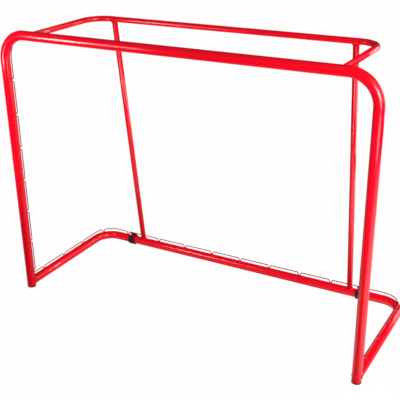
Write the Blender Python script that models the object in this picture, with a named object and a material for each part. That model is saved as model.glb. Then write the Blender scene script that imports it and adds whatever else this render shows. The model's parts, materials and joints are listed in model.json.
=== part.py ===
"""Floorball goal frame of welded and powder-coated steel tube, without its net.

Metres, +Z up. The mouth faces -Y, the width runs along X and the frame stands on z = 0.
Left is -X, as a player sees it who looks into the mouth.
"""

import math

import bmesh
import bpy
from mathutils import Vector

# Mouth of the goal, between the tubes and above the floor
INNER_WIDTH = 1.400
INNER_HEIGHT = 1.050

# Tube stock: posts, crossbar and base hoop are one size, top hoop and struts the other
MAIN_TUBE_DIAMETER = 0.0355
MAIN_TUBE_WALL = 0.0015
THIN_TUBE_DIAMETER = 0.0220
THIN_TUBE_WALL = 0.0012

# Hoops, measured along the tube axes
FRONT_BEND_RADIUS = 0.100
TOP_BEND_RADIUS = 0.080
BASE_BEND_RADIUS = 0.078
TOP_DEPTH = 0.410
BASE_DEPTH = 0.545
TOP_ARM_INSET = 0.024           # from the start of the front bend to the axis of the top hoop's arm
STRUT_SPACING = 1.000

# Crimped wire that the net hangs on
WIRE_DIAMETER = 0.0040
WIRE_RISE = 0.0145              # from the tube's surface to the middle of a raised stretch
WIRE_NOTCH_WIDTH = 0.018        # between two raised stretches
WIRE_TOUCH_LENGTH = 0.004       # what lies on the tube at the bottom of a notch
BASE_WIRE_PITCH = 0.139
POST_WIRE_PITCH = 0.1372
CROSSBAR_WIRE_PITCH = 0.139
BASE_WIRE_FIRST_TOUCH = 0.087   # behind the axis of the post
POST_WIRE_FIRST_TOUCH = 0.062   # above the floor
POST_WIRE_BEND_LIMIT = math.radians(40)
BASE_CORNER_TOUCH_ANGLE = math.radians(33)

# Plastic clips that carry the rear of the base hoop: open at the top, with an arm up to the net wire
CLIP_WIDTH = 0.031
CLIP_THICKNESS = 0.005
LEFT_CLIP_FROM_STRUT = 0.060
RIGHT_CLIP_FROM_STRUT = 0.045
CLIP_FRONT_LIP = math.radians(28)   # in front of the tube's top
CLIP_REAR_LIP = math.radians(30)    # behind it, where the arm starts

# Plastic caps that close the posts and carry them on the floor
CAP_FLANGE_THICKNESS = 0.004
CAP_PLUG_LENGTH = 0.020
CAP_CHAMFER = 0.001

# Weld beads, and the clearance between pieces that touch
MAIN_WELD_LEG = 0.0030
THIN_WELD_LEG = 0.0035
WELD_BULGE = 0.3                # of a full round bead
CLEARANCE = 0.0003

# Facets
MAIN_SIDES = 24
THIN_SIDES = 20
CLIP_SIDES = 32                 # in a full turn
BEND_STEPS = 10
WELD_STEPS = 24
WELD_ARC_STEPS = 3
SMOOTH_ANGLE = math.radians(40)

# Places that follow from the dimensions
MAIN_RADIUS = MAIN_TUBE_DIAMETER / 2
THIN_RADIUS = THIN_TUBE_DIAMETER / 2
WIRE_RADIUS = WIRE_DIAMETER / 2
CLIP_OUTER_RADIUS = MAIN_RADIUS + CLIP_THICKNESS
WIRE_HEIGHT = MAIN_RADIUS + WIRE_RISE
POST_X = INNER_WIDTH / 2 + MAIN_RADIUS
FRONT_Y = (MAIN_RADIUS - BASE_DEPTH - CLIP_OUTER_RADIUS) / 2
TOP_REAR_Y = FRONT_Y + TOP_DEPTH
BASE_REAR_Y = FRONT_Y + BASE_DEPTH
CROSSBAR_Z = INNER_HEIGHT + MAIN_RADIUS
BASE_Z = CLIP_OUTER_RADIUS
TOP_ARM_X = POST_X - FRONT_BEND_RADIUS - TOP_ARM_INSET
STRUT_X = STRUT_SPACING / 2
LEFT_CLIP_X = STRUT_X + LEFT_CLIP_FROM_STRUT
RIGHT_CLIP_X = STRUT_X + RIGHT_CLIP_FROM_STRUT
POST_END_Z = CAP_FLANGE_THICKNESS + CLEARANCE

# Half width, rear, height and bend radius of the two rear hoops
TOP_HOOP = (TOP_ARM_X, TOP_REAR_Y, CROSSBAR_Z, TOP_BEND_RADIUS)
BASE_HOOP = (POST_X, BASE_REAR_Y, BASE_Z, BASE_BEND_RADIUS)

X_AXIS = Vector((1, 0, 0))
Y_AXIS = Vector((0, 1, 0))
Z_AXIS = Vector((0, 0, 1))


class Route:
    """A flat route of straight runs that meet at right angles in round bends."""

    def __init__(self, corners, radius=0.0):
        self.stretches = []
        self.length = 0.0
        here = corners[0]
        for index in range(1, len(corners)):
            along = (corners[index] - corners[index - 1]).normalized()
            last = index == len(corners) - 1
            stop = corners[index] if last else corners[index] - along * radius
            self.add("run", (stop - here).length, (here, along))
            if last:
                break
            turned = (corners[index + 1] - corners[index]).normalized()
            centre = stop + turned * radius
            self.add("bend", radius * math.pi / 2, (centre, along, turned, radius))
            here = centre + along * radius

    def add(self, kind, length, data):
        self.stretches.append((kind, self.length, self.length + length, data))
        self.length += length

    def at(self, distance):
        """Point and direction at a distance along the route."""
        for kind, start, stop, data in self.stretches:
            if distance <= stop or stop == self.length:
                break
        if kind == "run":
            origin, along = data
            return origin + along * (distance - start), along
        centre, along, turned, radius = data
        angle = (distance - start) / radius
        point = centre + radius * (along * math.sin(angle) - turned * math.cos(angle))
        return point, along * math.cos(angle) + turned * math.sin(angle)

    def marks(self, steps):
        """Distances at both ends of each run, and at even steps through each bend."""
        found = [0.0]
        for kind, start, stop, _ in self.stretches:
            count = steps if kind == "bend" else 1
            found += [start + (stop - start) * step / count for step in range(1, count + 1)]
        return found

    def bend_start(self, index):
        """Distance at which a bend starts, counted from 0."""
        return [start for kind, start, _, _ in self.stretches if kind == "bend"][index]


def clear_scene():
    for thing in list(bpy.data.objects):
        bpy.data.objects.remove(thing, do_unlink=True)


def make_material(name, colour, roughness, metallic):
    material = bpy.data.materials.new(name)
    material.use_nodes = True
    shader = material.node_tree.nodes["Principled BSDF"]
    shader.inputs["Base Color"].default_value = (*colour, 1.0)
    shader.inputs["Roughness"].default_value = roughness
    shader.inputs["Metallic"].default_value = metallic
    material.diffuse_color = (*colour, 1.0)
    return material


def make_object(name, bm, material=None):
    bmesh.ops.recalc_face_normals(bm, faces=bm.faces[:])
    mesh = bpy.data.meshes.new(name)
    bm.to_mesh(mesh)
    bm.free()
    mesh.shade_smooth()
    mesh.set_sharp_from_angle(angle=SMOOTH_ANGLE)
    made = bpy.data.objects.new(name, mesh)
    bpy.context.scene.collection.objects.link(made)
    if material:
        mesh.materials.append(material)
    return made


def join_rings(bm, first, second):
    count = len(first)
    for index in range(count):
        after = (index + 1) % count
        bm.faces.new((first[index], first[after], second[after], second[index]))


def make_tube(name, route, normal, outer, inner, sides, material=None):
    """A tube along a route whose plane has the given normal, or a solid rod where inner is 0."""
    bm = bmesh.new()

    def ring(distance, radius):
        point, along = route.at(distance)
        across = normal.cross(along)
        turns = [2 * math.pi * side / sides for side in range(sides)]
        return [bm.verts.new(point + radius * (normal * math.cos(a) + across * math.sin(a))) for a in turns]

    marks = route.marks(BEND_STEPS)
    outside = [ring(distance, outer) for distance in marks]
    for first, second in zip(outside, outside[1:]):
        join_rings(bm, first, second)
    if inner:
        inside = [ring(distance, inner) for distance in marks]
        for first, second in zip(inside, inside[1:]):
            join_rings(bm, first, second)
        join_rings(bm, outside[0], inside[0])
        join_rings(bm, outside[-1], inside[-1])
    else:
        bm.faces.new(outside[0])
        bm.faces.new(outside[-1])
    return make_object(name, bm, material)


def make_turned(name, profile, centre, sides, material):
    """A closed turned solid about Z, from its profile of radius and height, bottom to top."""
    bm = bmesh.new()
    rings = []
    for radius, height in profile:
        turns = [2 * math.pi * side / sides for side in range(sides)]
        offsets = [Vector((radius * math.cos(a), radius * math.sin(a), height)) for a in turns]
        rings.append([bm.verts.new(centre + offset) for offset in offsets])
    for first, second in zip(rings, rings[1:]):
        join_rings(bm, first, second)
    bm.faces.new(rings[0])
    bm.faces.new(rings[-1])
    return make_object(name, bm, material)


def make_box(name, centre, sizes):
    bm = bmesh.new()
    bmesh.ops.create_cube(bm, size=1.0)
    bmesh.ops.scale(bm, vec=sizes, verts=bm.verts[:])
    bmesh.ops.translate(bm, vec=centre, verts=bm.verts[:])
    return make_object(name, bm)


def hide_helper(helper):
    helper.hide_render = True
    helper.display_type = "WIRE"
    return helper


def apply_boolean(target, helper, operation):
    modifier = target.modifiers.new(helper.name, "BOOLEAN")
    modifier.operation = operation
    modifier.solver = "EXACT"
    modifier.object = helper


def make_cutter(name, route, radius, normal):
    """A rod whose flats, not its edges, lie a clearance outside the tube that it stands for."""
    grown = (radius + CLEARANCE) / math.cos(math.pi / MAIN_SIDES)
    return hide_helper(make_tube(name, route, normal, grown, 0.0, MAIN_SIDES))


def make_weld(name, centre, main_axis, branch_axis, main_radius, branch_radius, leg, material):
    """A bead round the seam where a branch tube stands square on a main tube."""
    across = branch_axis.cross(main_axis)
    bm = bmesh.new()

    def seam(turn):
        """Corner of the seam at a turn round the branch, and both tubes' normals there."""
        sideways = branch_radius * math.sin(turn)
        reach = math.sqrt(max(main_radius ** 2 - sideways ** 2, 0.0))
        branch_normal = main_axis * math.cos(turn) + across * math.sin(turn)
        main_normal = (branch_axis * reach + across * sideways) / main_radius
        return centre + branch_axis * reach + branch_normal * branch_radius, branch_normal, main_normal

    nudge = math.pi / WELD_STEPS / 6
    rings = []
    for step in range(WELD_STEPS):
        turn = 2 * math.pi * step / WELD_STEPS
        point, branch_normal, main_normal = seam(turn)
        tangent = seam(turn + nudge)[0] - seam(turn - nudge)[0]
        out = (branch_normal + main_normal).normalized()
        side = tangent.cross(out).normalized()
        half_angle = (math.pi - branch_normal.angle(main_normal)) / 2
        corner = point + out * (CLEARANCE / math.sin(half_angle))
        spread = [half_angle * (2 * arc / WELD_ARC_STEPS - 1) for arc in range(WELD_ARC_STEPS + 1)]
        edge = math.cos(half_angle)
        heights = [edge + WELD_BULGE * (math.cos(a) - edge) for a in spread]
        arc_points = [corner + leg * (out * h + side * math.sin(a)) for h, a in zip(heights, spread)]
        rings.append([bm.verts.new(place) for place in [corner] + arc_points])
    for first, second in zip(rings, rings[1:] + rings[:1]):
        join_rings(bm, first, second)
    return make_object(name, bm, material)


def make_crimped_wire(name, route, rise_axis, start, stop, touches, material):
    """A wire that stands off a main tube along rise_axis and dips to the tube at each touch."""
    low = WIRE_RADIUS + CLEARANCE
    edges = (-WIRE_NOTCH_WIDTH / 2, -WIRE_TOUCH_LENGTH / 2, WIRE_TOUCH_LENGTH / 2, WIRE_NOTCH_WIDTH / 2)
    marks = {start, stop}
    marks.update(touch + edge for touch in touches for edge in edges)
    marks.update(route.marks(BEND_STEPS))

    def height(distance):
        away = min(abs(distance - touch) for touch in touches)
        slope = (away - WIRE_TOUCH_LENGTH / 2) / (WIRE_NOTCH_WIDTH / 2 - WIRE_TOUCH_LENGTH / 2)
        return low + (WIRE_RISE - low) * min(max(slope, 0.0), 1.0)

    curve = bpy.data.curves.new(name, "CURVE")
    curve.dimensions = "3D"
    curve.bevel_depth = WIRE_RADIUS
    curve.bevel_resolution = 1
    curve.use_fill_caps = True
    curve.materials.append(material)
    kept = sorted(mark for mark in marks if start <= mark <= stop)
    least_step = WIRE_RADIUS / 4
    kept = [mark for mark, after in zip(kept, kept[1:] + [math.inf]) if after - mark > least_step]
    spline = curve.splines.new("POLY")
    spline.points.add(len(kept) - 1)
    for spot, mark in zip(spline.points, kept):
        point, _ = route.at(mark)
        spot.co = (*(point + rise_axis * (MAIN_RADIUS + height(mark))), 1.0)
    made = bpy.data.objects.new(name, curve)
    bpy.context.scene.collection.objects.link(made)
    return made


def front_route():
    """Axis of the posts and the crossbar, from the floor at the left to the floor at the right."""
    return Route([Vector((-POST_X, FRONT_Y, POST_END_Z)), Vector((-POST_X, FRONT_Y, CROSSBAR_Z)),
                  Vector((POST_X, FRONT_Y, CROSSBAR_Z)), Vector((POST_X, FRONT_Y, POST_END_Z))],
                 FRONT_BEND_RADIUS)


def rear_hoop_route(half_width, rear_y, height, radius):
    """Axis of a level hoop that runs back from the front hoop, across and forward again."""
    return Route([Vector((-half_width, FRONT_Y, height)), Vector((-half_width, rear_y, height)),
                  Vector((half_width, rear_y, height)), Vector((half_width, FRONT_Y, height))], radius)


def rear_hoop_place(half_width, rear_y, height, radius, x):
    """Point of a rear hoop's axis at x, on its rear run or in a bend, and the hoop's direction there."""
    into_bend = max(abs(x) - (half_width - radius), 0.0)
    behind_centre = math.sqrt(radius ** 2 - into_bend ** 2)
    point = Vector((x, rear_y - radius + behind_centre, height))
    return point, Vector((behind_centre, -math.copysign(into_bend, x), 0)) / radius


def make_frame_tubes(coat):
    main_bore = MAIN_RADIUS - MAIN_TUBE_WALL
    make_tube("front_frame_tube", front_route(), Y_AXIS, MAIN_RADIUS, main_bore, MAIN_SIDES, coat)
    base = make_tube("base_frame_tube", rear_hoop_route(*BASE_HOOP), Z_AXIS, MAIN_RADIUS, main_bore,
                     MAIN_SIDES, coat)
    top = make_tube("top_frame_tube", rear_hoop_route(*TOP_HOOP), Z_AXIS, THIN_RADIUS,
                    THIN_RADIUS - THIN_TUBE_WALL, THIN_SIDES, coat)
    crossbar = Route([Vector((-POST_X, FRONT_Y, CROSSBAR_Z)), Vector((POST_X, FRONT_Y, CROSSBAR_Z))])
    apply_boolean(top, make_cutter("crossbar_cutter", crossbar, MAIN_RADIUS, Z_AXIS), "DIFFERENCE")
    for side, sign in (("left", -1), ("right", 1)):
        post = Route([Vector((sign * POST_X, FRONT_Y, -MAIN_RADIUS)),
                      Vector((sign * POST_X, FRONT_Y, BASE_Z + MAIN_TUBE_DIAMETER))])
        apply_boolean(base, make_cutter(side + "_post_cutter", post, MAIN_RADIUS, X_AXIS), "DIFFERENCE")


def make_struts(coat):
    top_cutter = make_cutter("top_hoop_cutter", rear_hoop_route(*TOP_HOOP), THIN_RADIUS, Z_AXIS)
    base_cutter = make_cutter("base_hoop_cutter", rear_hoop_route(*BASE_HOOP), MAIN_RADIUS, Z_AXIS)
    for side, sign in (("left", -1), ("right", 1)):
        head, _ = rear_hoop_place(*TOP_HOOP, sign * STRUT_X)
        foot, _ = rear_hoop_place(*BASE_HOOP, sign * STRUT_X)
        strut = make_tube(side + "_rear_strut", Route([head, foot]), X_AXIS, THIN_RADIUS,
                          THIN_RADIUS - THIN_TUBE_WALL, THIN_SIDES, coat)
        apply_boolean(strut, top_cutter, "DIFFERENCE")
        apply_boolean(strut, base_cutter, "DIFFERENCE")


def make_strut_weld(name, place, strut_axis, hoop, radius, sides, material):
    """A bead made for a straight run. Where the strut stands on a bend, the hoop's skin cuts the bead."""
    centre, along = place
    square = (along - strut_axis * along.dot(strut_axis)).normalized()
    bead = make_weld(name, centre, square, strut_axis, radius, THIN_RADIUS, THIN_WELD_LEG, material)
    skin = make_tube(name + "_cutter", rear_hoop_route(*hoop), Z_AXIS, radius, 0.0, sides)
    apply_boolean(bead, hide_helper(skin), "DIFFERENCE")


def make_welds(coat):
    below_posts = make_box("below_posts_cutter", Vector((0, FRONT_Y, POST_END_Z - MAIN_RADIUS)),
                           Vector((2 * POST_X + 2 * MAIN_TUBE_DIAMETER, 2 * MAIN_TUBE_DIAMETER,
                                   MAIN_TUBE_DIAMETER)))
    hide_helper(below_posts)
    for side, sign in (("left", -1), ("right", 1)):
        bead = make_weld(side + "_base_weld", Vector((sign * POST_X, FRONT_Y, BASE_Z)), Z_AXIS, Y_AXIS,
                         MAIN_RADIUS, MAIN_RADIUS, MAIN_WELD_LEG, coat)
        apply_boolean(bead, below_posts, "DIFFERENCE")
        make_weld(side + "_top_weld", Vector((sign * TOP_ARM_X, FRONT_Y, CROSSBAR_Z)), X_AXIS, Y_AXIS,
                  MAIN_RADIUS, THIN_RADIUS, THIN_WELD_LEG, coat)
        head = rear_hoop_place(*TOP_HOOP, sign * STRUT_X)
        foot = rear_hoop_place(*BASE_HOOP, sign * STRUT_X)
        down = (foot[0] - head[0]).normalized()
        make_strut_weld(side + "_strut_head_weld", head, down, TOP_HOOP, THIN_RADIUS, THIN_SIDES, coat)
        make_strut_weld(side + "_strut_foot_weld", foot, -down, BASE_HOOP, MAIN_RADIUS, MAIN_SIDES, coat)


def even_touches(first, pitch, limit):
    """Distances from first to limit, a pitch apart."""
    count = int((limit - first) / pitch) + 1
    return [first + pitch * index for index in range(count)]


def corner_touches(route, clip_x):
    """Touches from a post round the corner to the clip, as distances from the post's axis."""
    side = even_touches(BASE_WIRE_FIRST_TOUCH, BASE_WIRE_PITCH, route.bend_start(0))
    in_bend = route.bend_start(0) + BASE_BEND_RADIUS * BASE_CORNER_TOUCH_ANGLE
    beside_clip = route.length / 2 - clip_x - (CLIP_WIDTH + WIRE_NOTCH_WIDTH) / 2 - WIRE_RADIUS
    return side + [in_bend, beside_clip]


def make_base_wires(wire_coat):
    route = rear_hoop_route(*BASE_HOOP)
    middle = route.length / 2
    start = MAIN_RADIUS + CLEARANCE
    stop = middle - STRUT_X - THIN_RADIUS - CLEARANCE
    make_crimped_wire("left_base_net_wire", route, Z_AXIS, start, stop, corner_touches(route, LEFT_CLIP_X),
                      wire_coat)
    mirrored = [route.length - place for place in corner_touches(route, RIGHT_CLIP_X)]
    make_crimped_wire("right_base_net_wire", route, Z_AXIS, route.length - stop, route.length - start,
                      mirrored, wire_coat)
    reach = STRUT_X - THIN_RADIUS - CLEARANCE
    half = even_touches(0.0, BASE_WIRE_PITCH, reach - WIRE_NOTCH_WIDTH)
    touches = [middle + place for place in half] + [middle - place for place in half[1:]]
    make_crimped_wire("rear_base_net_wire", route, Z_AXIS, middle - reach, middle + reach, touches, wire_coat)


def make_front_wires(wire_coat):
    route = front_route()
    end_of_wire = route.bend_start(0) + FRONT_BEND_RADIUS * POST_WIRE_BEND_LIMIT
    post = even_touches(POST_WIRE_FIRST_TOUCH - POST_END_Z, POST_WIRE_PITCH, end_of_wire)
    low, high = post[0] - WIRE_TOUCH_LENGTH / 2, post[-1] + WIRE_TOUCH_LENGTH / 2
    make_crimped_wire("left_post_net_wire", route, Y_AXIS, low, high, post, wire_coat)
    mirrored = [route.length - place for place in post]
    make_crimped_wire("right_post_net_wire", route, Y_AXIS, route.length - high, route.length - low,
                      mirrored, wire_coat)
    middle = route.length / 2
    arm_face = TOP_ARM_X - THIN_RADIUS - THIN_WELD_LEG
    half = even_touches(0.0, CROSSBAR_WIRE_PITCH, arm_face - WIRE_NOTCH_WIDTH)
    touches = [middle + place for place in half] + [middle - place for place in half[1:]]
    reach = half[-1] + WIRE_TOUCH_LENGTH / 2
    make_crimped_wire("crossbar_net_wire", route, Y_AXIS, middle - reach, middle + reach, touches, wire_coat)


def clip_section():
    """Pairs of outer and inner points, back and up from the tube's axis, from front lip to arm's end."""
    start = math.pi / 2 + CLIP_FRONT_LIP
    stop = math.pi * 5 / 2 - CLIP_REAR_LIP
    step = 2 * math.pi / CLIP_SIDES
    between = [step * count for count in range(2 * CLIP_SIDES)]
    turns = [start] + [a for a in between if start + step / 4 < a < stop - step / 4] + [stop]
    inner_radius = MAIN_RADIUS + CLEARANCE
    outer = [CLIP_OUTER_RADIUS * Vector((math.cos(a), math.sin(a))) for a in turns]
    inner = [inner_radius * Vector((math.cos(a), math.sin(a))) for a in turns]
    wire = Vector((0.0, WIRE_HEIGHT))
    along = (wire - (outer[-1] + inner[-1]) / 2).normalized()
    across = Vector((along.y, -along.x)) * (CLIP_OUTER_RADIUS - inner_radius) / 2
    seat = wire - along * (WIRE_RADIUS + CLEARANCE)
    return list(zip(outer + [seat + across], inner + [seat - across]))


def make_floor_clips(plastic):
    half = CLIP_WIDTH / 2
    for side, clip_x in (("left", -LEFT_CLIP_X), ("right", RIGHT_CLIP_X)):
        centre = Vector((clip_x, BASE_REAR_Y, BASE_Z))
        bm = bmesh.new()
        rings = []
        for outer, inner in clip_section():
            corners = [(-half, *outer), (-half, *inner), (half, *inner), (half, *outer)]
            rings.append([bm.verts.new(centre + Vector(corner)) for corner in corners])
        for first, second in zip(rings, rings[1:]):
            join_rings(bm, first, second)
        bm.faces.new(rings[0])
        bm.faces.new(rings[-1])
        make_object(side + "_floor_clip", bm, plastic)


def make_end_caps(plastic):
    bore = (MAIN_RADIUS - MAIN_TUBE_WALL) * math.cos(math.pi / MAIN_SIDES) - CLEARANCE
    top = CAP_FLANGE_THICKNESS + CAP_PLUG_LENGTH
    profile = [(MAIN_RADIUS - CAP_CHAMFER, 0.0), (MAIN_RADIUS, CAP_CHAMFER), (MAIN_RADIUS, CAP_FLANGE_THICKNESS),
               (bore, CAP_FLANGE_THICKNESS), (bore, top - CAP_CHAMFER), (bore - CAP_CHAMFER, top)]
    for side, sign in (("left", -1), ("right", 1)):
        make_turned(side + "_post_end_cap", profile, Vector((sign * POST_X, FRONT_Y, 0)), MAIN_SIDES, plastic)


def main():
    clear_scene()
    coat = make_material("red_powder_coat", (0.85, 0.0, 0.006), 0.18, 0.0)
    wire_coat = make_material("red_coated_wire", (0.78, 0.0, 0.008), 0.30, 0.0)
    plastic = make_material("black_plastic", (0.014, 0.013, 0.013), 0.42, 0.0)
    make_frame_tubes(coat)
    make_struts(coat)
    make_welds(coat)
    make_base_wires(wire_coat)
    make_front_wires(wire_coat)
    make_floor_clips(plastic)
    make_end_caps(plastic)


main()
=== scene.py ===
"""A floorball goal frame in its finish: coated tubes with weld beads, crimped net wires, clips and caps.

Metres, +Z up. The mouth faces -Y and the frame stands on z = 0. Left is -X.
"""

import json
import math

import bmesh
import bpy
from bpy.props import FloatProperty, FloatVectorProperty, IntProperty, PointerProperty
from bpy.types import Operator, Panel, PropertyGroup
from mathutils import Matrix, Vector

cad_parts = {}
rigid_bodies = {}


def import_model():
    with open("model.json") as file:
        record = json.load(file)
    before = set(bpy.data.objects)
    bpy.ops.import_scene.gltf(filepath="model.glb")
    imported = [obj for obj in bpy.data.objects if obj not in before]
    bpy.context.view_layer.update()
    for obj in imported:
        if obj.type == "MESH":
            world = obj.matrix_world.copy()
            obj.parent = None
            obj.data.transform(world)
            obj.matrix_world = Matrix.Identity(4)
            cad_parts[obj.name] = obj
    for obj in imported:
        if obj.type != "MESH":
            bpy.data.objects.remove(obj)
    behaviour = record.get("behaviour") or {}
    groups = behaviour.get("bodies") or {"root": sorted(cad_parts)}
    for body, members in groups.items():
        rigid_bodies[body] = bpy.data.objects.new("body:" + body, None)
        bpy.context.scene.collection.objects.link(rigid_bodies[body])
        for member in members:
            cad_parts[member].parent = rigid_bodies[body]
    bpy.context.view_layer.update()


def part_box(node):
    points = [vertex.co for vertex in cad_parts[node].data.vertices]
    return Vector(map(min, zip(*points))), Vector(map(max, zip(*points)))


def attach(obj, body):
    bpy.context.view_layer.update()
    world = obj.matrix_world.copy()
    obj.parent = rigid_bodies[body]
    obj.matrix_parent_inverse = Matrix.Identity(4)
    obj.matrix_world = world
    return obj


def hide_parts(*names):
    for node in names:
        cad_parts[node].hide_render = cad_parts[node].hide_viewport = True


bl_info = {
    "name": "Floorball Goal Frame",
    "version": (1, 0, 0),
    "blender": (4, 5, 0),
    "location": "View3D > Sidebar > Goal Frame",
    "description": "Finishes the welded goal frame and sets up its studio",
    "category": "Object",
}

for startup_object in list(bpy.data.objects):
    bpy.data.objects.remove(startup_object)
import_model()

X_AXIS = Vector((1, 0, 0))
Y_AXIS = Vector((0, 1, 0))
Z_AXIS = Vector((0, 0, 1))
SIDES = (("left", -1), ("right", 1))
# Between pieces that touch, so that no two skins lie in one place
TOUCH_GAP = 0.0003
# Points closer than this are one point
MERGE_GAP = 0.00001
# Faces round a wire, round a bead, and round the seam that a bead follows
WIRE_SIDES = 12
BEAD_SIDES = 14
BEAD_STEPS = 720

# Places of the tubes, struts, clips and caps, read from the frame
FRONT_LOW, FRONT_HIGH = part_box("front_frame_tube")
TOP_LOW, TOP_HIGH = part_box("top_frame_tube")
BASE_LOW, BASE_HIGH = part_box("base_frame_tube")
STRUT_LOW, STRUT_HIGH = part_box("right_rear_strut")
LEFT_CLIP_LOW, LEFT_CLIP_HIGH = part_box("left_floor_clip")
RIGHT_CLIP_LOW, RIGHT_CLIP_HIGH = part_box("right_floor_clip")
MAIN_RADIUS = (FRONT_HIGH.y - FRONT_LOW.y) / 2
THIN_RADIUS = (TOP_HIGH.z - TOP_LOW.z) / 2
FRONT_Y = (FRONT_LOW.y + FRONT_HIGH.y) / 2
POST_X = FRONT_HIGH.x - MAIN_RADIUS
POST_END_Z = FRONT_LOW.z
CROSSBAR_Z = FRONT_HIGH.z - MAIN_RADIUS
TOP_ARM_X = TOP_HIGH.x - THIN_RADIUS
TOP_REAR_Y = TOP_HIGH.y - THIN_RADIUS
BASE_REAR_Y = BASE_HIGH.y - MAIN_RADIUS
BASE_Z = (BASE_LOW.z + BASE_HIGH.z) / 2
STRUT_X = (STRUT_LOW.x + STRUT_HIGH.x) / 2
CLIP_X = {"left": (LEFT_CLIP_LOW.x + LEFT_CLIP_HIGH.x) / 2,
          "right": (RIGHT_CLIP_LOW.x + RIGHT_CLIP_HIGH.x) / 2}
CLIP_WIDTH = RIGHT_CLIP_HIGH.x - RIGHT_CLIP_LOW.x
CLIP_OUTER_RADIUS = BASE_Z - RIGHT_CLIP_LOW.z


def linear(hex_colour):
    """Linear red, green and blue of an sRGB colour written as six hex digits."""
    shares = [int(hex_colour[place:place + 2], 16) / 255 for place in (0, 2, 4)]
    return tuple(share / 12.92 if share <= 0.04045 else ((share + 0.055) / 1.055) ** 2.4 for share in shares)


WHITE = (*linear("FFFFFF"), 1.0)


class GoalTubeSettings(PropertyGroup):
    """Bends and walls of the tubes."""
    front_bend: FloatProperty(name="Front bend", description="Radius of the front bends at the tube's axis",
                              default=0.100, min=0.05, unit="LENGTH")
    top_bend: FloatProperty(name="Top bend", description="Radius of the top hoop's bends at the tube's axis",
                            default=0.080, min=0.04, unit="LENGTH")
    base_bend: FloatProperty(name="Base bend",
                             description="Radius of the base hoop's bends at the tube's axis",
                             default=0.078, min=0.04, unit="LENGTH")
    main_wall: FloatProperty(name="Main wall", description="Wall of the posts, crossbar and base hoop",
                             default=0.0015, min=0.0005, unit="LENGTH")
    thin_wall: FloatProperty(name="Thin wall", description="Wall of the top hoop and struts",
                             default=0.0012, min=0.0005, unit="LENGTH")
    sides: IntProperty(name="Sides", description="Faces round a tube", default=64, min=16)
    bend_steps: IntProperty(name="Bend steps", description="Faces along a bend", default=48, min=8)


class GoalWireSettings(PropertyGroup):
    """The crimped wire that the net is laced to, and the tack welds that hold it."""
    diameter: FloatProperty(name="Wire diameter", description="Thickness of the wire with its coat",
                            default=0.0040, min=0.001, unit="LENGTH")
    rise: FloatProperty(name="Rise", description="From the tube's surface to the middle of the raised wire",
                        default=0.0145, min=0.004, unit="LENGTH")
    notch_width: FloatProperty(name="Notch width", description="Between two raised stretches",
                               default=0.018, min=0.006, unit="LENGTH")
    touch_length: FloatProperty(name="Touch length", description="What lies on the tube in a notch",
                                default=0.004, min=0.001, unit="LENGTH")
    base_pitch: FloatProperty(name="Base pitch", description="From notch to notch on the base hoop",
                              default=0.139, min=0.03, unit="LENGTH")
    post_pitch: FloatProperty(name="Post pitch", description="From notch to notch on a post",
                              default=0.1372, min=0.03, unit="LENGTH")
    crossbar_pitch: FloatProperty(name="Crossbar pitch", description="From notch to notch on the crossbar",
                                  default=0.139, min=0.03, unit="LENGTH")
    base_first: FloatProperty(name="First base notch", description="Behind the axis of the post",
                              default=0.087, min=0.03, unit="LENGTH")
    post_first: FloatProperty(name="First post notch", description="Above the floor",
                              default=0.062, min=0.03, unit="LENGTH")
    post_end: FloatProperty(name="Post wire's end",
                            description="How far round the front bend the notches may go",
                            default=math.radians(40), subtype="ANGLE")
    corner_notch: FloatProperty(name="Corner notch", description="How far round the base bend its notch lies",
                                default=math.radians(33), subtype="ANGLE")
    tack_length: FloatProperty(name="Tack length", description="Length of a tack weld beside the wire",
                               default=0.0055, min=0.001, unit="LENGTH")
    tack_width: FloatProperty(name="Tack width", description="Width of a tack weld",
                              default=0.0032, min=0.001, unit="LENGTH")
    tack_height: FloatProperty(name="Tack height", description="Height of a tack weld",
                               default=0.0026, min=0.0005, unit="LENGTH")


class GoalWeldSettings(PropertyGroup):
    """The beads where one tube stands on another."""
    main_bead: FloatProperty(name="Main bead", description="Radius of the bead at a post",
                             default=0.0020, min=0.001, unit="LENGTH")
    thin_bead: FloatProperty(name="Thin bead", description="Radius of the bead at a thin tube",
                             default=0.0028, min=0.001, unit="LENGTH")
    ripple_spacing: FloatProperty(name="Ripple spacing", description="From ripple to ripple along a bead",
                                  default=0.0028, min=0.001, unit="LENGTH")
    ripple_depth: FloatProperty(name="Ripple depth", description="Share of the bead's radius that ripples",
                                default=0.10, min=0.0, max=0.5)


class GoalPlasticSettings(PropertyGroup):
    """The moulded clips and caps."""
    clip_front_lip: FloatProperty(name="Front lip",
                                  description="Where the clip starts, in front of the tube's top",
                                  default=math.radians(28), subtype="ANGLE")
    clip_rear_lip: FloatProperty(name="Rear lip",
                                 description="Where the clip's arm starts, behind the tube's top",
                                 default=math.radians(30), subtype="ANGLE")
    edge_round: FloatProperty(name="Edge round", description="Rounding of the moulded edges",
                              default=0.0006, min=0.0001, unit="LENGTH")
    cap_flange: FloatProperty(name="Cap flange", description="Thickness of the cap under the post",
                              default=0.004, min=0.001, unit="LENGTH")
    cap_plug: FloatProperty(name="Cap plug", description="Length of the plug inside the post",
                            default=0.020, min=0.005, unit="LENGTH")
    cap_recess: FloatProperty(name="Cap recess", description="Depth of the hollow under the cap",
                              default=0.0008, min=0.0, unit="LENGTH")


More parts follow.
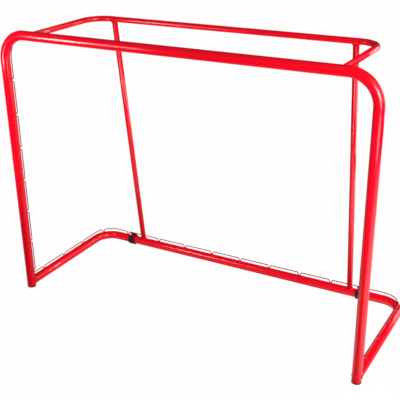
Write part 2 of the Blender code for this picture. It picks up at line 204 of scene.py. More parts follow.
class GoalFinishSettings(PropertyGroup):
    """Colours of the coats and the plastic."""
    coat: FloatVectorProperty(name="Coat", description="Colour of the powder coat", subtype="COLOR",
                              size=3, default=linear("F0001E"), min=0.0, max=1.0)
    coat_shade: FloatVectorProperty(name="Coat shade", description="Where the powder coat lies thicker",
                                    subtype="COLOR", size=3, default=linear("E8001C"), min=0.0, max=1.0)
    wire_coat: FloatVectorProperty(name="Wire coat", description="Colour of the coat on the wire",
                                   subtype="COLOR", size=3, default=linear("AC0A16"), min=0.0, max=1.0)
    plastic: FloatVectorProperty(name="Plastic", description="Colour of the clips and caps", subtype="COLOR",
                                 size=3, default=linear("141313"), min=0.0, max=1.0)


class GoalStageSettings(PropertyGroup):
    """Floor, lamps and surroundings."""
    floor_size: FloatProperty(name="Floor size", description="Side of the floor", default=60.0, min=5.0,
                              unit="LENGTH")
    floor_paint: FloatVectorProperty(name="Floor paint", description="Colour of the matt floor",
                                     subtype="COLOR", size=3, default=linear("EAEAEA"), min=0.0, max=1.0)
    floor_clean: FloatProperty(name="Clean floor", description="Share of the floor that is plain white",
                               default=0.97, min=0.0, max=1.0, subtype="FACTOR")
    # The sheet is painted light on the floor: a glow that only mirrored rays see, painting the reflections in
    # the tubes
    sheet_front: FloatProperty(name="Sheet's front",
                               description="Where the white sheet ends in front of the goal",
                               default=-0.23, unit="LENGTH")
    sheet_turn: FloatProperty(name="Sheet's turn",
                              description="How much further in front it ends at the right",
                              default=0.35, min=0.0, unit="LENGTH")
    sheet_fade: FloatProperty(name="Sheet's fade",
                              description="Width over which the sheet darkens at its front",
                              default=0.08, min=0.01, unit="LENGTH")
    sheet_reach: FloatProperty(name="Sheet's reach",
                               description="From the goal to where the sheet darkens all round",
                               default=1.6, min=0.1, unit="LENGTH")
    # Painted shade: how bright the sheet's glow stays away from the right lamp
    sheet_painted_shade: FloatProperty(name="Sheet's shade",
                               description="Brightness of the sheet away from the right lamp",
                               default=0.30, min=0.0, max=1.0, subtype="FACTOR")
    left_light: FloatProperty(name="Left lamp", description="Brightness of the soft box at the left",
                              default=4.0, min=0.0)
    left_centre: FloatProperty(name="Left lamp's centre", description="What its bright part adds",
                               default=15.0, min=0.0)
    right_light: FloatProperty(name="Right lamp", description="Brightness of the soft box at the right",
                               default=6.0, min=0.0)
    right_centre: FloatProperty(name="Right lamp's centre", description="What its bright part adds",
                                default=13.0, min=0.0)
    wall_light: FloatProperty(name="Wall", description="Brightness of the pale wall at the right",
                              default=0.9, min=0.0)
    low_light: FloatProperty(name="Low panel", description="Brightness of the low panel at the right",
                             default=4.5, min=0.0)
    back_light: FloatProperty(name="Back panel", description="Brightness of the panel behind, at the right",
                              default=3.5, min=0.0)
    room_light: FloatProperty(name="Room", description="Soft light from the rest of the studio", default=0.38,
                              min=0.0)
    room_shade: FloatProperty(name="Room's shade", description="Share of the room's light that is mirrored",
                              default=0.10, min=0.0, max=1.0, subtype="FACTOR")


# Settings that many nodes share
MULTIPLY = {"operation": "MULTIPLY"}
SMOOTHSTEP = {"interpolation_type": "SMOOTHSTEP"}


def add_node(tree, kind, settings=None, inputs=None):
    """Adds a node. An input is a value, a socket, or a node, which stands for its first output in use."""
    node = tree.nodes.new(kind)
    for name, value in (settings or {}).items():
        setattr(node, name, value)
    for key, value in (inputs or {}).items():
        if isinstance(value, bpy.types.Node):
            value = next(socket for socket in value.outputs if socket.enabled)
        if isinstance(value, bpy.types.NodeSocket):
            tree.links.new(value, node.inputs[key])
        else:
            node.inputs[key].default_value = value
    return node


def made_once(store, name, make):
    """The material or node tree of that name, made the first time that it is asked for."""
    return store.get(name) or make(name)


def start_material(name):
    """A new material, its tree, and the Object coordinates that its patterns read."""
    material = bpy.data.materials.new(name)
    material.use_nodes = True
    tree = material.node_tree
    tree.nodes.clear()
    return material, tree, add_node(tree, "ShaderNodeTexCoord").outputs["Object"]


def end_material(tree, colour, roughness, ior, relief, strength, depth):
    """Closes a material: a skin of the colour, with bumps that follow the relief's pattern."""
    bump = add_node(tree, "ShaderNodeBump", inputs={
        "Strength": strength, "Distance": depth, "Height": relief})
    skin = add_node(tree, "ShaderNodeBsdfPrincipled", inputs={
        "Base Color": colour, "Roughness": roughness, "IOR": ior, "Normal": bump})
    add_node(tree, "ShaderNodeOutputMaterial", inputs={"Surface": skin})


def make_powder_coat(name):
    """Polyester powder coat, sprayed on and baked: a thick glossy skin with a faint orange peel."""
    finish = bpy.context.scene.goal_finish
    material, tree, place = start_material(name)
    # The coat's thickness drifts over about 60 mm
    drift = add_node(tree, "ShaderNodeTexNoise", inputs={"Vector": place, "Scale": 1 / 0.060, "Detail": 2.0})
    colour = add_node(tree, "ShaderNodeMix", {"data_type": "RGBA"}, {
        "Factor": drift, "A": (*finish.coat, 1), "B": (*finish.coat_shade, 1)})
    # Orange peel is 2 mm wide on the real coat, and drawn 6 mm wide so that it shows
    peel = add_node(tree, "ShaderNodeTexNoise", inputs={"Vector": place, "Scale": 1 / 0.006, "Detail": 1.0})
    end_material(tree, colour, roughness=0.16, ior=1.52, relief=peel, strength=0.06, depth=0.00005)
    return material


def make_wire_coat(name):
    """The same powder coat on thin wire, where it lies thinner and draws a little rougher."""
    colour = (*bpy.context.scene.goal_finish.wire_coat, 1)
    material, tree, place = start_material(name)
    # Grain of the drawn wire under the coat, about 1 mm
    grain = add_node(tree, "ShaderNodeTexNoise", inputs={"Vector": place, "Scale": 1 / 0.001, "Detail": 2.0})
    end_material(tree, colour, roughness=0.28, ior=1.52, relief=grain, strength=0.3, depth=0.00003)
    return material


def make_moulded_plastic(name):
    """Black polypropylene, injection moulded in a spark-eroded tool: matt with a fine grain."""
    colour = (*bpy.context.scene.goal_finish.plastic, 1)
    material, tree, place = start_material(name)
    # The grain of the tool is 0.3 mm on the real part, and drawn 0.6 mm wide so that it shows
    grain = add_node(tree, "ShaderNodeTexVoronoi", inputs={"Vector": place, "Scale": 1 / 0.0006})
    end_material(tree, colour, roughness=0.48, ior=1.49, relief=grain, strength=0.35, depth=0.00004)
    return material


def ray_kinds(tree):
    """Whether a ray comes from the camera, and whether it was mirrored or went through glass."""
    rays = add_node(tree, "ShaderNodeLightPath").outputs
    mirrored = add_node(tree, "ShaderNodeMath", {"operation": "MAXIMUM"}, {
        0: rays["Is Glossy Ray"], 1: rays["Is Transmission Ray"]})
    return rays["Is Camera Ray"], mirrored


# From where to where the painted light on the sheet brightens towards the right lamp, in metres from the
# right post's axis
SHEET_BRIGHTENS = (-0.35, -0.05)
# From where to where its front turns forward, measured likewise
SHEET_TURNS = (0.0, 0.35)
# Where the sheet's painted glow has darkened all round, in shares of its reach
SHEET_END = 1.5


def make_floor_paint(name):
    """Matt white studio floor. The camera sees it mostly as plain white, mirrored rays see a white sheet of
    painted light, brighter towards the right lamp.
    """
    stage = bpy.context.scene.goal_stage
    material, tree, spot = start_material(name)
    from_camera, mirrored = ray_kinds(tree)
    distance = add_node(tree, "ShaderNodeVectorMath", {"operation": "LENGTH"}, {0: spot})
    # The sheet's painted glow fades out away from the goal
    near = add_node(tree, "ShaderNodeMapRange", SMOOTHSTEP, {
        "Value": distance, "From Min": stage.sheet_reach * SHEET_END, "From Max": stage.sheet_reach})
    place = add_node(tree, "ShaderNodeSeparateXYZ", inputs={0: spot}).outputs
    # Painted pool of light on the sheet, bright towards the right lamp, with painted shade away from it
    painted_lamp_pool = add_node(tree, "ShaderNodeMapRange", SMOOTHSTEP, {
        "Value": place["X"], "From Min": POST_X + SHEET_BRIGHTENS[0], "From Max": POST_X + SHEET_BRIGHTENS[1],
        "To Min": stage.sheet_painted_shade})
    # The sheet of painted light ends in front of the goal, so that the tubes' fronts mirror the dark studio
    # beyond it
    turned = add_node(tree, "ShaderNodeMapRange", inputs={
        "Value": place["X"], "From Min": POST_X + SHEET_TURNS[0], "From Max": POST_X + SHEET_TURNS[1],
        "To Max": stage.sheet_turn})
    depth = add_node(tree, "ShaderNodeMath", {"operation": "ADD"}, {0: turned, 1: place["Y"]})
    inside = add_node(tree, "ShaderNodeMapRange", SMOOTHSTEP, {
        "Value": depth, "From Min": stage.sheet_front - stage.sheet_fade, "From Max": stage.sheet_front})
    lit = add_node(tree, "ShaderNodeMath", MULTIPLY, {0: inside, 1: painted_lamp_pool})
    sheet = add_node(tree, "ShaderNodeMath", MULTIPLY, {0: lit, 1: near})
    white = add_node(tree, "ShaderNodeMath", {"operation": "MAXIMUM"}, {0: from_camera, 1: sheet})
    clean = add_node(tree, "ShaderNodeMath", MULTIPLY, {0: from_camera, 1: stage.floor_clean})
    share = add_node(tree, "ShaderNodeMath", {"operation": "MAXIMUM"}, {0: clean, 1: mirrored})
    matt = add_node(tree, "ShaderNodeBsdfDiffuse", inputs={"Color": (*stage.floor_paint, 1)})
    plain = add_node(tree, "ShaderNodeEmission", inputs={"Color": WHITE, "Strength": white})
    mixed = add_node(tree, "ShaderNodeMixShader", inputs={0: share, 1: matt, 2: plain})
    add_node(tree, "ShaderNodeOutputMaterial", inputs={"Surface": mixed})
    return material


def powder_coat():
    return made_once(bpy.data.materials, "red_polyester_powder_coat", make_powder_coat)


def wire_coat():
    return made_once(bpy.data.materials, "red_coat_on_drawn_wire", make_wire_coat)


def moulded_plastic():
    return made_once(bpy.data.materials, "black_moulded_polypropylene", make_moulded_plastic)


def start_tree(name, sockets):
    """A geometry node tree with named inputs, and its input and output sockets."""
    tree = bpy.data.node_groups.new(name, "GeometryNodeTree")
    tree.is_modifier = True
    for label, kind in sockets:
        tree.interface.new_socket(label, in_out="INPUT", socket_type="NodeSocket" + kind)
    tree.interface.new_socket("Geometry", in_out="OUTPUT", socket_type="NodeSocketGeometry")
    return tree, tree.nodes.new("NodeGroupInput").outputs, tree.nodes.new("NodeGroupOutput").inputs


def end_tree(tree, mesh, material, output):
    """Closes a tree with smooth shading, Realize Instances and Set Material."""
    smooth = add_node(tree, "GeometryNodeSetShadeSmooth", inputs={"Geometry": mesh})
    real = add_node(tree, "GeometryNodeRealizeInstances", inputs={"Geometry": smooth})
    coated = add_node(tree, "GeometryNodeSetMaterial", inputs={"Geometry": real, "Material": material})
    tree.links.new(coated.outputs["Geometry"], output["Geometry"])


def make_bent_tube_tree(name):
    """Sweeps a round section along a path."""
    tree, given, output = start_tree(name, (
        ("Path", "Geometry"), ("Radius", "Float"), ("Sides", "Int"), ("Material", "Material")))
    path = add_node(tree, "GeometryNodeMeshToCurve", inputs={"Mesh": given["Path"]})
    section = add_node(tree, "GeometryNodeCurvePrimitiveCircle", inputs={
        "Resolution": given["Sides"], "Radius": given["Radius"]})
    tube = add_node(tree, "GeometryNodeCurveToMesh", inputs={"Curve": path, "Profile Curve": section})
    end_tree(tree, tube, given["Material"], output)
    return tree


def make_crimped_wire_tree(name):
    """Lifts a wire off the tube's axis along the path, and dips it to the tube near each notch."""
    tree, given, output = start_tree(name, (
        ("Path", "Geometry"), ("Notches", "Object"), ("Rise Axis", "Vector"), ("Low Height", "Float"),
        ("Raised Height", "Float"), ("Notch Width", "Float"), ("Touch Length", "Float"),
        ("Wire Radius", "Float"), ("Material", "Material")))
    path = add_node(tree, "GeometryNodeMeshToCurve", inputs={"Mesh": given["Path"]})
    notches = add_node(tree, "GeometryNodeObjectInfo", inputs={"Object": given["Notches"]}).outputs
    away = add_node(tree, "GeometryNodeProximity", {"target_element": "POINTS"}, {
        "Geometry": notches["Geometry"]})
    near_end = add_node(tree, "ShaderNodeMath", MULTIPLY, {0: given["Touch Length"], 1: 0.5})
    far_end = add_node(tree, "ShaderNodeMath", MULTIPLY, {0: given["Notch Width"], 1: 0.5})
    height = add_node(tree, "ShaderNodeMapRange", SMOOTHSTEP, {
        "Value": away.outputs["Distance"], "From Min": near_end, "From Max": far_end,
        "To Min": given["Low Height"], "To Max": given["Raised Height"]})
    lift = add_node(tree, "ShaderNodeVectorMath", {"operation": "SCALE"}, {
        0: given["Rise Axis"], "Scale": height})
    lifted = add_node(tree, "GeometryNodeSetPosition", inputs={"Geometry": path, "Offset": lift})
    section = add_node(tree, "GeometryNodeCurvePrimitiveCircle", inputs={
        "Resolution": WIRE_SIDES, "Radius": given["Wire Radius"]})
    wire = add_node(tree, "GeometryNodeCurveToMesh", inputs={
        "Curve": lifted, "Profile Curve": section, "Fill Caps": True})
    end_tree(tree, wire, given["Material"], output)
    return tree


def make_tack_weld_tree(name):
    """Sets a small mound of weld on each side of the wire at every notch."""
    tree, given, output = start_tree(name, (
        ("Notches", "Geometry"), ("Rise Axis", "Vector"), ("Height", "Float"), ("Side Step", "Float"),
        ("Mound Size", "Vector"), ("Material", "Material")))
    along = add_node(tree, "GeometryNodeInputNamedAttribute", {"data_type": "FLOAT_VECTOR"},
                     {"Name": "along"})
    across = add_node(tree, "ShaderNodeVectorMath", {"operation": "CROSS_PRODUCT"}, {
        0: given["Rise Axis"], 1: along})
    turn = add_node(tree, "FunctionNodeAxesToRotation", {"primary_axis": "X", "secondary_axis": "Z"}, {
        "Primary Axis": along, "Secondary Axis": given["Rise Axis"]})
    up = add_node(tree, "ShaderNodeVectorMath", {"operation": "SCALE"}, {
        0: given["Rise Axis"], "Scale": given["Height"]})
    mound = add_node(tree, "GeometryNodeMeshIcoSphere", inputs={"Radius": 0.5, "Subdivisions": 3})
    both = add_node(tree, "GeometryNodeJoinGeometry")
    for side in (-1.0, 1.0):
        step = add_node(tree, "ShaderNodeMath", MULTIPLY, {0: given["Side Step"], 1: side})
        aside = add_node(tree, "ShaderNodeVectorMath", {"operation": "SCALE"}, {0: across, "Scale": step})
        offset = add_node(tree, "ShaderNodeVectorMath", {"operation": "ADD"}, {0: aside, 1: up})
        spots = add_node(tree, "GeometryNodeSetPosition", inputs={
            "Geometry": given["Notches"], "Offset": offset})
        mounds = add_node(tree, "GeometryNodeInstanceOnPoints", inputs={
            "Points": spots, "Instance": mound, "Rotation": turn, "Scale": given["Mound Size"]})
        tree.links.new(mounds.outputs["Instances"], both.inputs["Geometry"])
    end_tree(tree, both, given["Material"], output)
    return tree


def make_weld_bead_tree(name):
    """Runs a rippled bead round the seam of a tube that stands along +Z on a main tube along X."""
    tree, given, output = start_tree(name, (
        ("Branch Radius", "Float"), ("Main Radius", "Float"), ("Bead Radius", "Float"),
        ("Ripple Spacing", "Float"), ("Ripple Depth", "Float"), ("Material", "Material")))
    ring = add_node(tree, "GeometryNodeCurvePrimitiveCircle", inputs={
        "Resolution": BEAD_STEPS, "Radius": 1.0})
    place = add_node(tree, "GeometryNodeInputPosition")
    turn = add_node(tree, "ShaderNodeSeparateXYZ", inputs={0: place}).outputs
    forward = add_node(tree, "ShaderNodeMath", MULTIPLY, {0: turn["X"], 1: given["Branch Radius"]})
    sideways = add_node(tree, "ShaderNodeMath", MULTIPLY, {0: turn["Y"], 1: given["Branch Radius"]})
    side_squared = add_node(tree, "ShaderNodeMath", MULTIPLY, {0: sideways, 1: sideways})
    main_radius = given["Main Radius"]
    main_squared = add_node(tree, "ShaderNodeMath", MULTIPLY, {0: main_radius, 1: main_radius})
    left_over = add_node(tree, "ShaderNodeMath", {"operation": "SUBTRACT", "use_clamp": True}, {
        0: main_squared, 1: side_squared})
    reach = add_node(tree, "ShaderNodeMath", {"operation": "SQRT"}, {0: left_over})
    seam = add_node(tree, "ShaderNodeCombineXYZ", inputs={"X": forward, "Y": sideways, "Z": reach})
    branch_normal = add_node(tree, "ShaderNodeCombineXYZ", inputs={"X": turn["X"], "Y": turn["Y"]})
    main_out = add_node(tree, "ShaderNodeCombineXYZ", inputs={"Y": sideways, "Z": reach})
    main_normal = add_node(tree, "ShaderNodeVectorMath", {"operation": "NORMALIZE"}, {0: main_out})
    between = add_node(tree, "ShaderNodeVectorMath", {"operation": "ADD"}, {
        0: branch_normal, 1: main_normal})
    out = add_node(tree, "ShaderNodeVectorMath", {"operation": "NORMALIZE"}, {0: between})
    # The bead's middle stands a quarter of its radius off the seam
    proud = add_node(tree, "ShaderNodeMath", MULTIPLY, {0: given["Bead Radius"], 1: 0.25})
    shift = add_node(tree, "ShaderNodeVectorMath", {"operation": "SCALE"}, {0: out, "Scale": proud})
    middle = add_node(tree, "ShaderNodeVectorMath", {"operation": "ADD"}, {0: seam, 1: shift})
    laid = add_node(tree, "GeometryNodeSetPosition", inputs={"Geometry": ring, "Position": middle})
    length = add_node(tree, "GeometryNodeSplineLength").outputs["Length"]
    fitting = add_node(tree, "ShaderNodeMath", {"operation": "DIVIDE"}, {
        0: length, 1: given["Ripple Spacing"]})
    # A whole number of ripples goes round, so that the bead has no step where it closes
    ripples = add_node(tree, "ShaderNodeMath", {"operation": "ROUND"}, {0: fitting})
    factor = add_node(tree, "GeometryNodeSplineParameter").outputs["Factor"]
    passed = add_node(tree, "ShaderNodeMath", MULTIPLY, {0: factor, 1: ripples})
    phase = add_node(tree, "ShaderNodeMath", MULTIPLY, {0: passed, 1: math.pi})
    wave = add_node(tree, "ShaderNodeMath", {"operation": "SINE"}, {0: phase})
    hump = add_node(tree, "ShaderNodeMath", {"operation": "ABSOLUTE"}, {0: wave})
    swell = add_node(tree, "ShaderNodeMath", {"operation": "MULTIPLY_ADD"}, {
        0: hump, 1: given["Ripple Depth"], 2: 1.0})
    section = add_node(tree, "GeometryNodeCurvePrimitiveCircle", inputs={
        "Resolution": BEAD_SIDES, "Radius": given["Bead Radius"]})
    bead = add_node(tree, "GeometryNodeCurveToMesh", inputs={
        "Curve": laid, "Profile Curve": section, "Scale": swell})
    end_tree(tree, bead, given["Material"], output)
    return tree


def add_object(name, mesh):
    made = bpy.data.objects.new(name, mesh)
    bpy.context.scene.collection.objects.link(made)
    return made


def path_mesh(name, points):
    """A chain of edges through the points."""
    mesh = bpy.data.meshes.new(name)
    mesh.from_pydata(points, [(first, first + 1) for first in range(len(points) - 1)], [])
    return mesh


def notch_mesh(name, places):
    """Loose points at the notches, each with the direction of the tube there."""
    mesh = bpy.data.meshes.new(name)
    mesh.from_pydata([point for point, _ in places], [], [])
    along = mesh.attributes.new("along", "FLOAT_VECTOR", "POINT")
    for item, (_, direction) in zip(along.data, places):
        item.vector = direction
    return mesh


def grow(name, source, tree_name, make_tree, values):
    """Runs a node tree on a source mesh and keeps what it makes as a plain mesh object."""
    tree = made_once(bpy.data.node_groups, tree_name, make_tree)
    holder = add_object(name + "_source", source)
    modifier = holder.modifiers.new(tree.name, "NODES")
    modifier.node_group = tree
    for item in tree.interface.items_tree:
        if item.in_out == "INPUT" and item.name in values:
            modifier[item.identifier] = values[item.name]
    graph = bpy.context.evaluated_depsgraph_get()
    mesh = bpy.data.meshes.new_from_object(holder.evaluated_get(graph))
    mesh.name = name
    bpy.data.objects.remove(holder)
    return add_object(name, mesh)


def hand_over(piece, slot, *nodes):
    """Lets a finished piece ride on the frame in the place of its nodes."""
    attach(piece, "root")
    if nodes:
        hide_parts(*nodes)


def bent_path(corners, radius, bend_steps):
    """Points along straight runs that meet in round bends."""
    points = [corners[0]]
    for before, corner, after in zip(corners, corners[1:], corners[2:]):
        along = (corner - before).normalized()
        turned = (after - corner).normalized()
        centre = corner + (turned - along) * radius
        for step in range(bend_steps + 1):
            angle = math.pi / 2 * step / bend_steps
            points.append(centre + radius * (along * math.sin(angle) - turned * math.cos(angle)))
    return points + [corners[-1]]


def path_length(points):
    return sum((second - first).length for first, second in zip(points, points[1:]))


def place_along(points, distance):
    """Point and direction at a distance along a path."""
    for first, second in zip(points, points[1:]):
        step = second - first
        if distance <= step.length:
            break
        distance -= step.length
    return first + step.normalized() * distance, step.normalized()


def stretch(points, start, stop, spacing):
    """Points at an even spacing along part of a path."""
    count = round((stop - start) / spacing)
    return [place_along(points, start + (stop - start) * step / count)[0] for step in range(count + 1)]


def front_path():
    """Axis of the posts and the crossbar, from the floor at the left to the floor at the right."""
    settings = bpy.context.scene.goal_tubes
    corners = ((-POST_X, POST_END_Z), (-POST_X, CROSSBAR_Z), (POST_X, CROSSBAR_Z), (POST_X, POST_END_Z))
    return bent_path([Vector((x, FRONT_Y, z)) for x, z in corners], settings.front_bend, settings.bend_steps)


def rear_hoop_path(sign, half_width, rear_y, height, radius):
    """Axis of a level hoop that runs back, across and forward again. A sign of -1 starts it at the left."""
    start_x = sign * half_width
    corners = ((start_x, FRONT_Y), (start_x, rear_y), (-start_x, rear_y), (-start_x, FRONT_Y))
    return bent_path([Vector((x, y, height)) for x, y in corners], radius,
                     bpy.context.scene.goal_tubes.bend_steps)


def base_path(sign=-1):
    return rear_hoop_path(sign, POST_X, BASE_REAR_Y, BASE_Z, bpy.context.scene.goal_tubes.base_bend)


def top_path():
    return rear_hoop_path(-1, TOP_ARM_X, TOP_REAR_Y, CROSSBAR_Z, bpy.context.scene.goal_tubes.top_bend)


def cope_end(piece, centre, branch_axis, main_axis, main_radius):
    """Shapes the end of a tube to the round of the main tube that it stands on."""
    sideways_axis = branch_axis.cross(main_axis)
    for vert in piece.data.vertices:
        offset = vert.co - centre
        reach = offset.dot(branch_axis)
        if abs(reach) < main_radius and abs(offset.dot(main_axis)) < main_radius * 2:
            sideways = offset.dot(sideways_axis)
            wanted = math.sqrt(max(main_radius ** 2 - sideways ** 2, 0.0)) + TOUCH_GAP
            vert.co += branch_axis * (wanted - reach)


def add_wall(piece, wall):
    """Gives a tube's skin its wall, inwards."""
    solid = piece.modifiers.new("wall", "SOLIDIFY")
    solid.thickness = wall
    solid.offset = -1.0


def make_coated_tube(node, points, radius, wall, ends=()):
    """A coated tube along a path. Each end that stands on another tube is coped to it."""
    settings = bpy.context.scene.goal_tubes
    name = "coated_" + node
    piece = grow(name, path_mesh(name, points), "bent_tube", make_bent_tube_tree, {
        "Radius": radius, "Sides": settings.sides, "Material": powder_coat()})
    for end in ends:
        cope_end(piece, *end)
    add_wall(piece, wall)
    hand_over(piece, "red_powder_coat", node)


def base_joint(sign):
    """Where the base hoop's axis meets a post's axis."""
    return Vector((sign * POST_X, FRONT_Y, BASE_Z))


def top_joint(sign):
    """Where the top hoop's axis meets the crossbar's axis."""
    return Vector((sign * TOP_ARM_X, FRONT_Y, CROSSBAR_Z))


def strut_ends(sign):
    """Where a strut's axis meets the axes of the top and base hoops."""
    return Vector((sign * STRUT_X, TOP_REAR_Y, CROSSBAR_Z)), Vector((sign * STRUT_X, BASE_REAR_Y, BASE_Z))


class GOAL_OT_frame_tubes(Operator):
    """Make the front, top and base tubes"""
    bl_idname = "goal.frame_tubes"
    bl_label = "Frame Tubes"

    def execute(self, context):
        settings = context.scene.goal_tubes
        make_coated_tube("front_frame_tube", front_path(), MAIN_RADIUS, settings.main_wall)
        crossbar_ends = [(top_joint(sign), Y_AXIS, X_AXIS, MAIN_RADIUS) for _, sign in SIDES]
        make_coated_tube("top_frame_tube", top_path(), THIN_RADIUS, settings.thin_wall, crossbar_ends)
        post_ends = [(base_joint(sign), Y_AXIS, Z_AXIS, MAIN_RADIUS) for _, sign in SIDES]
        make_coated_tube("base_frame_tube", base_path(), MAIN_RADIUS, settings.main_wall, post_ends)
        return {"FINISHED"}


class GOAL_OT_rear_struts(Operator):
    """Make the two struts between the top and base hoops"""
    bl_idname = "goal.rear_struts"
    bl_label = "Rear Struts"

    def execute(self, context):
        settings = context.scene.goal_tubes
        for side, sign in SIDES:
            head, foot = strut_ends(sign)
            down = (foot - head).normalized()
            ends = ((head, down, X_AXIS, THIN_RADIUS), (foot, -down, X_AXIS, MAIN_RADIUS))
            make_coated_tube(side + "_rear_strut", [head, foot], THIN_RADIUS, settings.thin_wall, ends)
        return {"FINISHED"}


def make_weld(node, centre, main_axis, branch_axis, main_radius, branch_radius, bead):
    """A rippled bead where a branch tube stands square on a main tube."""
    settings = bpy.context.scene.goal_welds
    name = "rippled_" + node
    piece = grow(name, bpy.data.meshes.new(name), "weld_bead", make_weld_bead_tree, {
        "Branch Radius": branch_radius, "Main Radius": main_radius, "Bead Radius": bead,
        "Ripple Spacing": settings.ripple_spacing, "Ripple Depth": settings.ripple_depth,
        "Material": powder_coat()})
    turn = Matrix((main_axis, branch_axis.cross(main_axis), branch_axis)).transposed()
    piece.data.transform(Matrix.Translation(centre) @ turn.to_4x4())
    hand_over(piece, "red_powder_coat", node)


class GOAL_OT_weld_beads(Operator):
    """Make the beads where the tubes meet"""
    bl_idname = "goal.weld_beads"
    bl_label = "Weld Beads"

    def execute(self, context):
        thin_bead = context.scene.goal_welds.thin_bead
        for side, sign in SIDES:
            make_weld(side + "_base_weld", base_joint(sign), Z_AXIS, Y_AXIS, MAIN_RADIUS, MAIN_RADIUS,
                      context.scene.goal_welds.main_bead)
            make_weld(side + "_top_weld", top_joint(sign), X_AXIS, Y_AXIS, MAIN_RADIUS, THIN_RADIUS,
                      thin_bead)
            head, foot = strut_ends(sign)
            down = (foot - head).normalized()
            make_weld(side + "_strut_head_weld", head, X_AXIS, down, THIN_RADIUS, THIN_RADIUS, thin_bead)
            make_weld(side + "_strut_foot_weld", foot, X_AXIS, -down, MAIN_RADIUS, THIN_RADIUS, thin_bead)
        return {"FINISHED"}


def even_places(first, pitch, limit):
    """Distances from first to limit, a pitch apart."""
    return [first + pitch * index for index in range(int((limit - first) / pitch) + 1)]


def both_ways(middle, steps):
    """Distances at steps on and back from a middle. The first step is 0, and counts once."""
    return [middle + step for step in steps] + [middle - step for step in steps[1:]]


def make_net_wire(wire, points, rise_axis, start, stop, notches):
    """A crimped wire along part of a tube, and the tack welds in its notches."""
    settings = bpy.context.scene.goal_wires
    radius = settings.diameter / 2
    places = [place_along(points, distance) for distance in notches]
    marks = add_object(wire + "_notches", notch_mesh(wire + "_notches", places))
    name = "crimped_" + wire
    path = path_mesh(name, stretch(points, start, stop, radius / 2))
    piece = grow(name, path, "crimped_wire", make_crimped_wire_tree, {
        "Notches": marks, "Rise Axis": rise_axis, "Low Height": MAIN_RADIUS + radius + TOUCH_GAP,
        "Raised Height": MAIN_RADIUS + settings.rise, "Notch Width": settings.notch_width,
        "Touch Length": settings.touch_length, "Wire Radius": radius, "Material": wire_coat()})
    hand_over(piece, "red_coated_wire", wire)
    bpy.data.objects.remove(marks)
    tacks = wire.replace("net_wire", "tack_welds")
    # A mound's middle lies a third of the wire's radius above the tube
    mounds = grow(tacks, notch_mesh(tacks, places), "tack_welds", make_tack_weld_tree, {
        "Rise Axis": rise_axis, "Height": MAIN_RADIUS + radius / 3, "Side Step": radius,
        "Mound Size": (settings.tack_length, settings.tack_width, settings.tack_height),
        "Material": powder_coat()})
    hand_over(mounds, "red_powder_coat")


class GOAL_OT_net_wires(Operator):
    """Make the crimped wires that the net is laced to, and their tack welds"""
    bl_idname = "goal.net_wires"
    bl_label = "Net Wires"

    def execute(self, context):
        settings = context.scene.goal_wires
        self.make_base_wires(settings, context.scene.goal_tubes.base_bend)
        self.make_front_wires(settings, context.scene.goal_tubes.front_bend)
        return {"FINISHED"}

    def make_base_wires(self, settings, bend):
        bend_start = BASE_REAR_Y - FRONT_Y - bend
        middle = path_length(base_path()) / 2
        corner = even_places(settings.base_first, settings.base_pitch, bend_start)
        corner.append(bend_start + bend * settings.corner_notch)
        start = MAIN_RADIUS + TOUCH_GAP
        stop = middle - STRUT_X - THIN_RADIUS - TOUCH_GAP
        for side, sign in SIDES:
            clip_face = middle - abs(CLIP_X[side]) - CLIP_WIDTH / 2
            beside_clip = clip_face - settings.notch_width / 2 - settings.diameter / 2
            make_net_wire(side + "_base_net_wire", base_path(sign), Z_AXIS, start, stop,
                          corner + [beside_clip])
        reach = STRUT_X - THIN_RADIUS - TOUCH_GAP
        half = even_places(0.0, settings.base_pitch, reach - settings.notch_width)
        make_net_wire("rear_base_net_wire", base_path(), Z_AXIS, middle - reach, middle + reach,
                      both_ways(middle, half))

    def make_front_wires(self, settings, bend):
        length = path_length(front_path())
        limit = CROSSBAR_Z - bend - POST_END_Z + bend * settings.post_end
        post = even_places(settings.post_first - POST_END_Z, settings.post_pitch, limit)
        low, high = post[0] - settings.touch_length / 2, post[-1] + settings.touch_length / 2
        make_net_wire("left_post_net_wire", front_path(), Y_AXIS, low, high, post)
        mirrored = [length - place for place in post]
        make_net_wire("right_post_net_wire", front_path(), Y_AXIS, length - high, length - low, mirrored)
        middle = length / 2
        room = TOP_ARM_X - THIN_RADIUS - settings.notch_width
        half = even_places(0.0, settings.crossbar_pitch, room - settings.notch_width)
        reach = half[-1] + settings.touch_length / 2
        make_net_wire("crossbar_net_wire", front_path(), Y_AXIS, middle - reach, middle + reach,
                      both_ways(middle, half))


def clip_outline():
    """Points round the clip's section, back and up from the tube's axis: a cuff, and an arm to the wire."""
    settings = bpy.context.scene.goal_plastic
    wires = bpy.context.scene.goal_wires
    steps = 72
    start = math.pi / 2 + settings.clip_front_lip
    stop = math.pi * 5 / 2 - settings.clip_rear_lip
    turns = [start + (stop - start) * step / steps for step in range(steps + 1)]
    inner_radius = MAIN_RADIUS + TOUCH_GAP
    round_turns = [Vector((math.cos(turn), math.sin(turn))) for turn in turns]
    outer = [CLIP_OUTER_RADIUS * way for way in round_turns]
    inner = [inner_radius * way for way in round_turns]
    wire = Vector((0.0, MAIN_RADIUS + wires.rise))
    along = (wire - (outer[-1] + inner[-1]) / 2).normalized()
    across = Vector((along.y, -along.x)) * (CLIP_OUTER_RADIUS - inner_radius) / 2
    seat = wire - along * (wires.diameter / 2 + TOUCH_GAP)
    return outer + [seat + across, seat - across] + inner[::-1]


def finish_moulded(bm, node):
    """Makes a shape a plastic piece with rounded edges, in the place of its node."""
    bmesh.ops.recalc_face_normals(bm, faces=bm.faces[:])
    name = "moulded_" + node
    mesh = bpy.data.meshes.new(name)
    bm.to_mesh(mesh)
    bm.free()
    mesh.shade_smooth()
    mesh.materials.append(moulded_plastic())
    piece = add_object(name, mesh)
    bevel = piece.modifiers.new("rounded_edges", "BEVEL")
    bevel.width = bpy.context.scene.goal_plastic.edge_round
    bevel.segments = 3
    bevel.angle_limit = math.radians(40)
    bevel.harden_normals = True
    hand_over(piece, "black_plastic", node)


